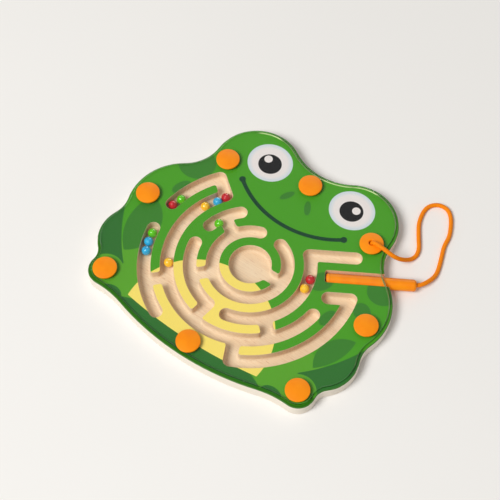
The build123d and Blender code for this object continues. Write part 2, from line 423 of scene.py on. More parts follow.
@dataclass(frozen=True)
class PrintedWood:
    """The board's finish: a frog print on top, cream paint on the sides and bare wood elsewhere."""

    wood: Wood = Wood()
    green: Rgba = paint(72, 156, 31)
    bright_green: Rgba = paint(89, 162, 41)
    thigh_green: Rgba = paint(58, 128, 42)
    shin_green: Rgba = paint(46, 112, 44)
    edge_green: Rgba = paint(24, 108, 4)
    # Painted shade: the darker band of the board's rim outside the sheet, from foot to foot
    painted_rim_shade: Rgba = paint(42, 108, 6)
    yellow: Rgba = paint(245, 223, 110)
    white: Rgba = paint(232, 225, 221)
    eye_rim: Rgba = paint(208, 218, 222)
    black: Rgba = paint(24, 24, 26)
    smile_green: Rgba = paint(18, 66, 40)
    cream: Rgba = paint(237, 229, 216)
    board_top: float = 12.0
    ink_edge: float = 0.25
    ink_depth: Step = (1.6, 1.3)
    outer_radius: float = 96.0
    outer_blur: float = 0.1
    slot_angle: float = 30.0
    slot_offset: float = -5.9
    slot_half_width: float = 5.9
    flat_step: Step = (0.93, 0.98)
    side_step: Step = (0.55, 0.65)
    under_step: Step = (-0.9, -0.7)
    wash_cells: Cells = (0.012, 0.012, 0.012)
    wash_share: float = 0.09
    speckle_cells: Cells = (1.1, 1.1, 1.1)
    speckle_share: float = 0.05
    print_tone: float = 0.93
    brush_cells: Cells = (0.06, 0.06, 1.5)
    brush_share: float = 0.1
    paint_tone: float = 0.94
    wood_through_paint: float = 0.12
    roughness: float = 0.62
    ink_gloss: float = 0.2
    paint_gloss: float = 0.1
    specular: float = 0.2
    nap_height: float = 0.05
    nap_roughness: float = 0.06
    ink_cover: float = 0.75
    paint_cover: float = 0.5
    feet: tuple[Spot, Spot] = (Spot(-82, -66, 30, 21, -58), Spot(82, -66, 30, 21, 58))
    foot_plugs: tuple[Spot, Spot] = (Spot(-94.4, -71.9, 15, 15), Spot(94.4, -71.9, 15, 15))
    thigh_reach: Spot = Spot(63.9, -13.4, 45.6, 45.6)
    shin_reach: Spot = Spot(-17.7, 50.3, 150, 150)
    ankle_x: float = 86.0
    ankle_y: float = -67.0
    thighs: tuple[Spot, Spot] = (Spot(-105, -22, 29, 25, -80), Spot(111.5, -33.5, 23.5, 23.5))
    back_spots: tuple[Spot, ...] = (
        Spot(-93, 55, 16.5, 15.5),
        Spot(-90, 28, 9, 4.8, 66),
        Spot(103, 40, 13, 12.5),
        Spot(98.5, 15.5, 8, 7, -30),
        Spot(79, -5, 8.5, 5, 75),
        Spot(57, 20, 11, 8, 60),
    )
    # The sheet's outline near the feet, which bounds the painted shade on the rim
    sheet_belly: Spot = Spot(0, 138.9, 234.7, 234.7)
    sheet_sole: Spot = Spot(89.44, -166.47, 83.5, 83.5)
    sheet_foot: Spot = Spot(94.4, -71.2, 11.9, 11.9)
    sheet_ankle: Spot = Spot(-121.65, -67.52, 15.6, 15.6)
    belly_end_x: float = 66.8
    foot_start_x: float = 93.6
    foot_end_y: float = -69.2
    band: Spot = Spot(-2.3, -90, 72, 16)
    toes: tuple[Spot, Spot] = (Spot(-78, -85, 9, 6), Spot(78, -85, 9, 6))
    belly: Spot = Spot(-2.3, -72, 63.6, 61.5)
    belly_floor: Spot = Spot(-2.3, 315.5, 400, 400)
    eyes: tuple[Spot, Spot] = (Spot(-41.9, 90.9, 19.8, 18.6), Spot(41.2, 90.7, 19.8, 18.6))
    eye_rim_width: float = 2.6
    eye_rim_blur: float = 3.2
    pupils: tuple[Spot, Spot] = (Spot(-41.3, 89.7, 10.2, 9.8), Spot(41.3, 89.7, 10.2, 9.8))
    glints: tuple[Spot, Spot] = (Spot(-45.2, 93.2, 3.6, 3.6), Spot(44.5, 92.3, 3.6, 3.6))
    nostrils: tuple[Spot, Spot] = (Spot(-11.7, 72.0, 7.0, 2.9, 60), Spot(9.3, 71.2, 7.0, 2.9, -62))
    smile_bottom: float = 45.8
    smile_radius: float = 83.8
    smile_half_width: float = 1.75
    smile_ends: tuple[float, float] = (-52.0, 50.8)
    smile_dot: float = 2.9

    def layer_mask(self, shader: Shader, distance: Value) -> Value:
        """Turn a distance into a mask that is 1 inside, with an ink edge."""
        return shader.math("MULTIPLY_ADD", distance, -1 / self.ink_edge, 0.5, clamp=True)

    def nearest(self, spots: Iterable[Spot], x: Value, y: Value) -> Value:
        """Give the distance to the nearest of several spots.

        Args:
            spots: The spots.
            x: The point's x in millimetres.
            y: The point's y in millimetres.

        Returns:
            The distance in millimetres, which is negative inside a spot.
        """
        first, *rest = [spot.distance(x, y) for spot in spots]
        for distance in rest:
            first = first & distance
        return first

    def smile(self, x: Value, y: Value) -> Value:
        """Give the distance to the smile: an arc with a dot at each end.

        Args:
            x: The point's x in millimetres.
            y: The point's y in millimetres.

        Returns:
            The distance in millimetres, which is negative inside the line.
        """
        rise = y - (self.smile_bottom + self.smile_radius)
        line = abs((x * x + rise * rise).root() - self.smile_radius) - self.smile_half_width
        left, right = self.smile_ends
        middle, reach = (left + right) / 2, (right - left) / 2
        line = line | (abs(x - middle) - reach) | (y - self.smile_bottom - self.smile_radius / 2)
        size = self.smile_dot
        dots = [Spot(end, self.smile_height(end), size, size) for end in self.smile_ends]
        return line & self.nearest(dots, x, y)

    def smile_height(self, x: float) -> float:
        """Give the height of the smile's arc at x."""
        return self.smile_bottom + self.smile_radius - math.sqrt(self.smile_radius**2 - x**2)

    def legs(self, x: Value, y: Value) -> tuple[Value, Value]:
        """Give the distances to the thighs and to the shins, which a crease parts on each side.

        Args:
            x: The point's x in millimetres.
            y: The point's y in millimetres.

        Returns:
            The distance to the thighs and the distance to the shins, in millimetres.
        """
        thighs = self.nearest(self.thighs, x, y) | self.thigh_reach.distance(abs(x), y)
        shins = -self.nearest(self.foot_plugs, x, y) | -self.shin_reach.distance(abs(x), y)
        return thighs, shins | (self.ankle_x - abs(x)) | (self.ankle_y - y)

    def lower_rim(self, x: Value, y: Value) -> Value:
        """Give the distance to the band of painted shade outside the sheet, from foot to foot.

        Args:
            x: The point's x in millimetres.
            y: The point's y in millimetres.

        Returns:
            The distance in millimetres, which is negative inside the band.
        """
        side = abs(x)
        below_belly = -self.sheet_belly.distance(x, y) | (side - self.belly_end_x)
        below_sole = self.sheet_sole.distance(side, y) | (side - self.foot_start_x)
        past_foot = (self.foot_start_x - side) | (y - self.foot_end_y)
        round_foot = -self.sheet_foot.distance(side, y) | past_foot
        return below_belly & below_sole & round_foot & self.sheet_ankle.distance(x, y)

    def artwork(self, shader: Shader, x: Value, y: Value) -> Value:
        """Lay the inks of the print over each other, and then the rim's painted shade.

        Args:
            shader: The material under construction.
            x: The point's x in millimetres.
            y: The point's y in millimetres.

        Returns:
            The colour of the print.
        """
        wash, speckle = shader.noise(self.wash_cells), shader.noise(self.speckle_cells)
        thighs, shins = self.legs(x, y)
        under_belly = self.belly_floor.distance(x, y)
        band = self.band.distance(x, y) | -under_belly
        eyes = self.nearest(self.eyes, x, y)
        colour = self.green
        layers: list[tuple[Value, Rgba]] = [
            (self.nearest(self.feet, x, y), self.bright_green),
            (thighs & self.nearest(self.back_spots, x, y), self.thigh_green),
            (band & self.nearest(self.toes, x, y) & shins, self.shin_green),
            (self.belly.distance(x, y) | under_belly, self.yellow),
            (self.nearest(self.nostrils, x, y), self.thigh_green),
            (eyes, self.eye_rim),
            ((eyes + self.eye_rim_width) * (self.ink_edge / self.eye_rim_blur), self.white),
            (self.nearest(self.pupils, x, y), self.black),
            (self.nearest(self.glints, x, y), self.white),
            (self.smile(x, y), self.smile_green),
            # Painted shade, not ink: the rim outside the sheet, darker on the feet's side
            (self.lower_rim(x, y), self.painted_rim_shade),
        ]
        for distance, ink_or_shade in layers:
            colour = shader.mix(self.layer_mask(shader, distance), colour, ink_or_shade)
        tone = self.print_tone + wash * self.wash_share + speckle * self.speckle_share
        return shader.shade(colour, tone)

    def outside_channels(self, x: Value, y: Value) -> Value:
        """Mark the board's rim, beyond the maze and beside the pen's slot.

        Args:
            x: The point's x in millimetres.
            y: The point's y in millimetres.

        Returns:
            A mask that is 1 on the rim.
        """
        turn = math.radians(self.slot_angle)
        across = y * math.cos(turn) - x * math.sin(turn) - self.slot_offset
        beside = (abs(across) - self.slot_half_width).rises(-self.outer_blur, self.outer_blur)
        in_slot = (x * math.cos(turn) + y * math.sin(turn)).rises(0.0, 1.0) & (1.0 - beside)
        reach = (x * x + y * y).root()
        beyond = reach.rises(self.outer_radius - self.outer_blur, self.outer_radius)
        return beyond * (1.0 - in_slot)

    def painted_cream(self, shader: Shader, wood: Value) -> Value:
        """Brush cream paint over the wood of the sides.

        Args:
            shader: The material under construction.
            wood: The colour of the wood, of which a little shows through.

        Returns:
            The colour of the sides.
        """
        brushed = shader.noise(self.brush_cells, detail=4.0)
        cream = shader.shade(self.cream, self.paint_tone + brushed * self.brush_share)
        return shader.mix(self.wood_through_paint, cream, wood)

    def build(self) -> bpy.types.Material:
        """Build the material.

        Returns:
            The material.
        """
        shader = Shader("printed_wood")
        x, y, z = shader.place()
        up = shader.facing()
        outside = self.outside_channels(x, y)
        flat = up.rises(*self.flat_step)
        on_top = z.rises(*(self.board_top - depth for depth in self.ink_depth))
        wrapped = outside * up.rises(*self.side_step) * (1.0 - flat)
        painted = outside * (1.0 - up.rises(*self.side_step)) * up.rises(*self.under_step)
        printed = on_top * (flat | wrapped)
        wood = self.wood.colour(shader)
        colour = shader.mix(painted, wood, self.painted_cream(shader, wood))
        colour = shader.mix(on_top * flat, colour, self.artwork(shader, x, y))
        colour = shader.mix(on_top * wrapped, colour, self.edge_green)
        bare = 1.0 - printed * self.ink_cover - painted * self.paint_cover
        relief = self.wood.relief(shader) * bare
        roughness = self.roughness - printed * self.ink_gloss - painted * self.paint_gloss
        links = {
            "Base Color": colour,
            "Roughness": roughness + relief * self.nap_roughness,
            "Normal": shader.bump(relief, self.nap_height),
            "Specular IOR Level": self.specular,
        }
        return shader.finish(shader.plastic(links))


@dataclass(frozen=True)
class ClearSheet:
    """Clear polished acrylic: faint on its faces, and green at its edge, which gathers the print.

    The edge's green is painted, as the print seen through it. Painted shade makes the edge
    darkest on the side of the feet. The small chamfer under the edge has a painted glint towards
    the head, and a painted dark line of shade on the pen's side.
    """

    gloss: Rgba = paint(255, 255, 255)
    # Painted colours: the print seen through the edge, the edge's painted shade and the painted
    # glint
    edge: Rgba = paint(66, 142, 16)
    painted_edge_shade: Rgba = paint(18, 84, 0)
    glint: Rgba = paint(226, 250, 176)
    edge_share: float = 0.2
    painted_edge_shade_share: float = 0.6
    bevel_share: float = 0.09
    straight_share: float = 0.011
    glare_power: float = 5.0
    under_share: float = 0.08
    line_share: float = 0.85
    middle_height: float = 13.5
    middle_blur: float = 0.5
    side_step: Step = (0.25, 0.45)
    bevel_step: Step = (0.93, 0.99)
    # Where the painted glint and the painted shade lie, by the direction that the edge faces
    glint_angle: float = 104.0
    glint_step: Step = (0.92, 0.98)
    glint_strength: float = 0.8
    dark_angle: float = -56.0
    dark_step: Step = (-0.2, 0.5)
    far_angle: float = 55.0
    far_dark_step: Step = (0.55, 0.85)
    far_glint_step: Step = (0.6, 0.95)
    far_glint_strength: float = 0.2
    line_step: Step = (0.2, 0.75)
    scuff_cells: Cells = (0.35, 0.08, 0.2)
    scuff_step: Step = (0.55, 0.8)
    roughness: float = 0.04
    scuff_roughness: float = 0.05
    edge_roughness: float = 0.1

    def build(self) -> bpy.types.Material:
        """Build the material.

        Returns:
            The material.
        """
        shader = Shader("clear_sheet")
        height = shader.place()[2]
        up = abs(shader.facing())
        edge = 1.0 - up.rises(*self.side_step)
        bevel = (1.0 - up.rises(*self.bevel_step)) * (1.0 - edge)
        upper = height.rises(self.middle_height, self.middle_height + self.middle_blur)
        under = bevel * (1.0 - upper)
        rim = edge | under
        # Painted shade and painted glints, placed by the direction that the edge faces
        far = shader.turned_to(self.far_angle)
        near = shader.turned_to(self.dark_angle)
        dark = near.rises(*self.dark_step) | far.rises(*self.far_dark_step)
        glint = shader.turned_to(self.glint_angle).rises(*self.glint_step) * self.glint_strength
        bright = glint + far.rises(*self.far_glint_step) * self.far_glint_strength
        line = far.rises(*self.line_step) * (1.0 - bright)
        # The edge's tint with its painted shade, and the painted glint on the chamfer under the
        # edge
        tint = shader.mix(dark | under, self.edge, self.painted_edge_shade)
        scuffs = shader.noise(self.scuff_cells, detail=5.0, roughness=0.7).rises(*self.scuff_step)
        links = {
            "Base Color": shader.mix(rim, self.gloss, shader.mix(under * bright, tint, self.glint)),
            "Metallic": 1.0 - rim,
            "Roughness": self.roughness + scuffs * self.scuff_roughness + rim * self.edge_roughness,
        }
        solid = shader.plastic(links)
        share = self.glare(shader) * (1.0 - rim)
        share = share + edge * (dark * self.painted_edge_shade_share + self.edge_share)
        share = share + (bevel - under) * self.bevel_share
        share = share + under * (self.under_share + (bright | line) * self.line_share)
        through = shader.node("ShaderNodeBsdfTransparent")["BSDF"]
        surface = shader.node("ShaderNodeMixShader", None, {0: share, 1: through, 2: solid})[0]
        return shader.finish(surface)

    def glare(self, shader: Shader) -> Value:
        """Give the share of light that a flat face mirrors, which grows towards a slant."""
        slant = shader.math("POWER", shader.slant(), self.glare_power)
        return slant * (1.0 - self.straight_share) + self.straight_share


@dataclass(frozen=True)
class SatinPlastic:
    """Moulded satin plastic with a faint grain."""

    name: str
    light: Rgba
    dark: Rgba
    roughness: float = 0.42
    specular: float = 0.22
    cloud_cells: Cells = (0.09, 0.09, 0.09)
    cloud_step: Step = (0.3, 0.7)
    grain_cells: Cells = (3.2, 3.2, 3.2)
    grain_height: float = 0.012
    grain_roughness: float = 0.08
    scuff_cells: Cells = (0.5, 0.12, 0.5)
    scuff_step: Step = (0.62, 0.75)
    scuff_roughness: float = 0.08

    def build(self) -> bpy.types.Material:
        """Build the material.

        Returns:
            The material.
        """
        shader = Shader(self.name)
        clouds = shader.noise(self.cloud_cells).rises(*self.cloud_step)
        grain = shader.noise(self.grain_cells)
        scuffs = shader.noise(self.scuff_cells, detail=4.0, roughness=0.7).rises(*self.scuff_step)
        wear = grain * self.grain_roughness + scuffs * self.scuff_roughness
        links = {
            "Base Color": shader.mix(clouds, self.light, self.dark),
            "Roughness": wear + self.roughness,
            "Normal": shader.bump(grain, self.grain_height),
            "Specular IOR Level": self.specular,
        }
        return shader.finish(shader.plastic(links))


@dataclass(frozen=True)
class Enamel:
    """Glossy enamel on a steel ball."""

    name: str
    colour: Rgba
    shadow: Rgba
    flow_cells: Cells = (0.5, 0.5, 0.5)
    flow_step: Step = (0.35, 0.7)
    peel_cells: Cells = (1.8, 1.8, 1.8)
    peel_height: float = 0.008
    roughness: float = 0.08
    flow_roughness: float = 0.06
    coat: float = 0.6

    def build(self) -> bpy.types.Material:
        """Build the material.

        Returns:
            The material.
        """
        shader = Shader(self.name)
        flow = shader.noise(self.flow_cells)
        peel = shader.noise(self.peel_cells, detail=1.0)
        links = {
            "Base Color": shader.mix(flow.rises(*self.flow_step), self.colour, self.shadow),
            "Roughness": self.roughness + flow * self.flow_roughness,
            "Normal": shader.bump(peel, self.peel_height),
            "Coat Weight": self.coat,
            "Coat Roughness": self.roughness,
        }
        return shader.finish(shader.plastic(links))


@dataclass(frozen=True)
class PlatedSteel:
    """Nickel-plated magnet."""

    colour: Rgba = paint(196, 196, 200)
    turning_cells: Cells = (0.4, 4.0, 4.0)
    tone: float = 0.9
    turning_share: float = 0.15
    roughness: float = 0.22
    turning_roughness: float = 0.12

    def build(self) -> bpy.types.Material:
        """Build the material.

        Returns:
            The material.
        """
        shader = Shader("plated_steel")
        turning = shader.noise(self.turning_cells)
        links = {
            "Base Color": shader.shade(self.colour, self.tone + turning * self.turning_share),
            "Metallic": 1.0,
            "Roughness": self.roughness + turning * self.turning_roughness,
        }
        return shader.finish(shader.plastic(links))


@dataclass(frozen=True)
class BraidedYarn:
    """Braided synthetic yarn, which reads the braid's height and helices from the cord's mesh."""

    light: Rgba = paint(252, 150, 4)
    # The dark colour serves both the fuzz's random tone and the painted shade in the grooves
    dark: Rgba = paint(238, 100, 0)
    groove_shade_step: Step = (0.05, 0.75)
    groove_shade_share: float = 0.75
    fibre_waves: float = 31.0
    fuzz_cells: Cells = (2.5, 2.5, 2.5)
    fuzz_share: float = 0.25
    lightening: float = 0.08
    fibre_share: float = 0.6
    fibre_height: float = 0.05
    roughness: float = 0.58
    fuzz_roughness: float = 0.2
    specular: float = 0.15

    def build(self) -> bpy.types.Material:
        """Build the material.

        Returns:
            The material.
        """
        shader = Shader("braided_yarn")
        relief = shader.node("ShaderNodeAttribute", {"attribute_name": "relief"})["Fac"]
        lean = shader.node("ShaderNodeAttribute", {"attribute_name": "lean"})["Fac"]
        winding = shader.node("ShaderNodeUVMap", {"uv_map": "helices"})["UV"]
        turns = shader.node("ShaderNodeSeparateXYZ", links={0: winding})
        rising = (turns["X"] * self.fibre_waves).sine() * lean
        falling = (turns["Y"] * self.fibre_waves).sine() * (1.0 - lean)
        fibres = (rising + falling) * 0.5 + 0.5
        fuzz = shader.noise(self.fuzz_cells, detail=3.0)
        # Painted shade: darker where the braid's height is low
        groove_shade = (1.0 - relief.rises(*self.groove_shade_step)) * self.groove_shade_share
        share = groove_shade + fuzz * self.fuzz_share - self.lightening
        nap = fibres * self.fibre_share + fuzz * (1.0 - self.fibre_share)
        links = {
            "Base Color": shader.mix(share, self.light, self.dark),
            "Roughness": self.roughness + fuzz * self.fuzz_roughness,
            "Normal": shader.bump(nap, self.fibre_height),
            "Specular IOR Level": self.specular,
        }
        return shader.finish(shader.plastic(links))


@dataclass(frozen=True)
class KnottedYarn:
    """The cord's yarn where it is pulled into a knot."""

    light: Rgba = paint(250, 146, 38)
    dark: Rgba = paint(196, 86, 14)
    strand_cells: Cells = (0.2, 0.2, 0.2)
    strand_bend: float = 1.5
    strand_height: float = 0.25
    roughness: float = 0.6
    strand_roughness: float = 0.15

    def build(self) -> bpy.types.Material:
        """Build the material.

        Returns:
            The material.
        """
        shader = Shader("knotted_yarn")
        where = shader.stretched(self.strand_cells)
        strands = shader.node(
            "ShaderNodeTexWave",
            {"wave_type": "BANDS", "bands_direction": "DIAGONAL"},
            {"Vector": where, "Scale": 1.0, "Distortion": self.strand_bend, "Detail": 2.0},
        )["Fac"]
        links = {
            # Painted shade: darker where the strands' bump is low
            "Base Color": shader.mix(strands, self.dark, self.light),
            "Roughness": self.roughness + strands * self.strand_roughness,
            "Normal": shader.bump(strands, self.strand_height),
        }
        return shader.finish(shader.plastic(links))


class BallColour(Enum):
    """Enamel colours of the balls, each with its light and its deeper tone."""

    RED = (paint(210, 26, 42), paint(182, 14, 32))
    GREEN = (paint(104, 214, 16), paint(82, 190, 8))
    BLUE = (paint(44, 184, 231), paint(28, 159, 214))
    YELLOW = (paint(255, 208, 46), paint(251, 185, 24))


def dress(node: bpy.types.Object, material: bpy.types.Material) -> None:
    """Give a piece one material all over."""
    node.data.materials.clear()
    node.data.materials.append(material)


def merged_copy(node: bpy.types.Object, name: str) -> bpy.types.Object:
    """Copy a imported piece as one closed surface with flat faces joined.

    Args:
        node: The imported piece.
        name: The copy's name.

    Returns:
        The copy, which is the active and only selected object.
    """
    bpy.ops.object.select_all(action="DESELECT")
    copy = bpy.data.objects.new(name, node.data.copy())
    bpy.context.scene.collection.objects.link(copy)
    bpy.context.view_layer.objects.active = copy
    copy.select_set(True)
    bpy.ops.object.mode_set(mode="EDIT")
    bpy.ops.mesh.select_all(action="SELECT")
    bpy.ops.mesh.customdata_custom_splitnormals_clear()
    bpy.ops.mesh.remove_doubles(threshold=MERGE_REACH)
    bpy.ops.mesh.dissolve_limited(angle_limit=math.radians(FLAT_ANGLE))
    bpy.ops.object.mode_set(mode="OBJECT")
    return copy


def even_shading(piece: bpy.types.Object, crease: float) -> None:
    """Shade the active piece smooth across shallow edges, with its large faces kept flat.

    Args:
        piece: The piece.
        crease: The angle in degrees from which an edge stays sharp.
    """
    bpy.ops.object.shade_smooth_by_angle(angle=math.radians(crease))
    weigh = piece.modifiers.new("even_shading", "WEIGHTED_NORMAL")
    weigh.keep_sharp = True
    bpy.ops.object.modifier_apply(modifier=weigh.name)


@dataclass(frozen=True)
class Rounding:
    """How the router leaves the board's edges."""

    rim: float = 0.15
    floor: float = 2.4
    corner: float = 2.0
    segments: int = 4


@dataclass
class Board:
    """The milled board, its clear sheet and the plugs that hold it."""

    body: str = "board"
    top: float = 12.0
    channel_floor: float = 3.0
    maze_radius: float = 96.0
    sheet_lift: float = 0.05
    sheet_chamfer: float = 0.7
    plug_reach: float = 5.0
    square_limit: float = 0.4
    corner_slack: float = 0.1
    board_crease: float = 40.0
    sheet_crease: float = 25.0
    rounding: Rounding = Rounding()
    plug_orange: SatinPlastic = SatinPlastic("orange_plugs", paint(252, 146, 2), paint(247, 135, 0))
    wood: PrintedWood = PrintedWood()
    sheet: ClearSheet = ClearSheet()

    def bevel(
        self, piece: bpy.types.Object, weights: Sequence[float], width: float, segments: int
    ) -> None:
        """Round a piece's edges.

        Args:
            piece: The active piece.
            weights: A share of the width for each edge.
            width: The bevel's width in millimetres.
            segments: The number of faces across the bevel.
        """
        attribute = piece.data.attributes.get("bevel_weight_edge")
        attribute = attribute or piece.data.attributes.new("bevel_weight_edge", "FLOAT", "EDGE")
        attribute.data.foreach_set("value", weights)
        rounding = piece.modifiers.new("rounding", "BEVEL")
        rounding.limit_method = "WEIGHT"
        rounding.width = width * MM
        rounding.segments = segments
        rounding.use_clamp_overlap = False
        bpy.ops.object.modifier_apply(modifier=rounding.name)
        piece.data.attributes.remove(piece.data.attributes["bevel_weight_edge"])

    def square_edges(self, piece: bpy.types.Object, reach: float) -> list[Edge]:
        """List the edges where two faces meet squarely.

        Args:
            piece: The piece to look at.
            reach: How far from the maze's middle the edges may lie, in millimetres.

        Returns:
            The number of each edge and its two ends in millimetres.
        """
        faces: dict[tuple[int, int], list[Vector]] = {}
        for face in piece.data.polygons:
            for key in face.edge_keys:
                faces.setdefault(key, []).append(face.normal)
        found = []
        for edge in piece.data.edges:
            normals = faces.get(tuple(sorted(edge.vertices)), [])
            ends = [piece.data.vertices[index].co / MM for index in edge.vertices]
            within = all(end.xy.length < reach for end in ends)
            if within and len(normals) == 2 and abs(normals[0].dot(normals[1])) < self.square_limit:
                found.append((edge.index, *ends))
        return found

    def round_corners(self, piece: bpy.types.Object) -> None:
        """Round the upright corners where channels meet.

        Args:
            piece: The copy of the board, which is active.
        """
        weights = [0.0] * len(piece.data.edges)
        depth = self.top - self.channel_floor - self.corner_slack
        for index, first, second in self.square_edges(piece, self.maze_radius):
            if abs(first.z - second.z) > depth and (first - second).xy.length < LEVEL_REACH:
                weights[index] = 1.0
        self.bevel(piece, weights, self.rounding.corner, self.rounding.segments)

    def round_channels(self, piece: bpy.types.Object) -> None:
        """Round the channels' floors and break their rims.

        Args:
            piece: The copy of the board, which is active.
        """
        weights = [0.0] * len(piece.data.edges)
        shares = {self.channel_floor: 1.0, self.top: self.rounding.rim / self.rounding.floor}
        for index, first, second in self.square_edges(piece, self.maze_radius):
            for level, share in shares.items():
                if max(abs(first.z - level), abs(second.z - level)) < LEVEL_REACH:
                    weights[index] = share
        self.bevel(piece, weights, self.rounding.floor, self.rounding.segments)

    def lower_rim(self, sheet: bpy.types.Object) -> list[float]:
        """Mark the edges of the sheet's lower outline.

        Args:
            sheet: The copy of the sheet.

        Returns:
            A weight for each edge, which is 1 on the lower outline and 0 elsewhere.
        """
        weights = [0.0] * len(sheet.data.edges)
        lower = self.top + 2 * self.sheet_lift
        for index, first, second in self.square_edges(sheet, math.inf):
            if max(first.z, second.z) < lower and not self.near_plug(first):
                weights[index] = 1.0
        return weights

    def write_outward(self, sheet: bpy.types.Object) -> None:
        """Keep each vertex's level direction, which places the sheet's painted glint and shade.

        Args:
            sheet: The copy of the sheet.
        """
        directions: list[float] = []
        for vertex in sheet.data.vertices:
            directions += [*vertex.normal.xy.normalized(), 0.0]
        outward = sheet.data.attributes.new("outward", "FLOAT_VECTOR", "POINT")
        outward.data.foreach_set("vector", directions)

    def near_plug(self, point: Vector) -> bool:
        """Tell whether a point lies at the hole of a plug.

        Args:
            point: The point in millimetres.

        Returns:
            True at a plug's hole.
        """
        corners = [[Vector(corner) for corner in plug.bound_box] for plug in self.plugs()]
        middles = [sum(box, Vector()) / (len(box) * MM) for box in corners]
        return any((middle - point).xy.length < self.plug_reach for middle in middles)

    def plugs(self) -> list[bpy.types.Object]:
        """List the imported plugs."""
        return [node for name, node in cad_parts.items() if name.endswith("_plug")]

    def build_board(self) -> None:
        """Mill the board's softer edges and print it."""
        board = merged_copy(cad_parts["base_board"], "milled_board")
        self.round_corners(board)
        self.round_channels(board)
        even_shading(board, self.board_crease)
        dress(board, self.wood.build())
        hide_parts("base_board")
        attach(board, self.body)
        log.info("board milled and printed: %d faces", len(board.data.polygons))

    def build_sheet(self) -> None:
        """Lay the clear sheet on the board, with a hair of air under it."""
        sheet = merged_copy(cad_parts["cover_sheet"], "clear_cover")
        for vertex in sheet.data.vertices:
            if vertex.co.z / MM < self.top + self.sheet_lift:
                vertex.co.z = (self.top + self.sheet_lift) * MM
        self.bevel(sheet, self.lower_rim(sheet), self.sheet_chamfer, segments=1)
        self.write_outward(sheet)
        even_shading(sheet, self.sheet_crease)
        dress(sheet, self.sheet.build())
        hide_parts("cover_sheet")
        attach(sheet, self.body)
        log.info("sheet laid")

    def dress_plugs(self) -> None:
        """Colour the plugs."""
        material = self.plug_orange.build()
        for plug in self.plugs():
            dress(plug, material)
        log.info("%d plugs coloured", len(self.plugs()))

    def build(self) -> None:
        """Dress the whole sub-assembly."""
        self.build_board()
        self.build_sheet()
        self.dress_plugs()


@dataclass
class Balls:
    """The steel balls in the channels."""

    def build(self) -> None:
        """Enamel each ball in the colour that its name gives."""
        materials: dict[str, bpy.types.Material] = {}
        for tone in BallColour:
            name = tone.name.lower()
            materials[name] = Enamel(f"{name}_enamel", *tone.value).build()
        balls = {name: node for name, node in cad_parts.items() if name.startswith("ball_")}
        for name, node in balls.items():
            dress(node, materials[name.split("_")[1]])
        log.info("%d balls enamelled", len(balls))


@dataclass
class Pen:
    """The magnetic pen."""

    orange: SatinPlastic = SatinPlastic("orange_pen", paint(252, 148, 0), paint(247, 136, 0), 0.4)

    def build(self) -> None:
        """Dress the barrel, its cap and the magnet."""
        orange = self.orange.build()
        dress(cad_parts["pen_barrel"], orange)
        dress(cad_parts["pen_tip_cap"], orange)
        dress(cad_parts["pen_magnet"], PlatedSteel().build())
        log.info("pen dressed")


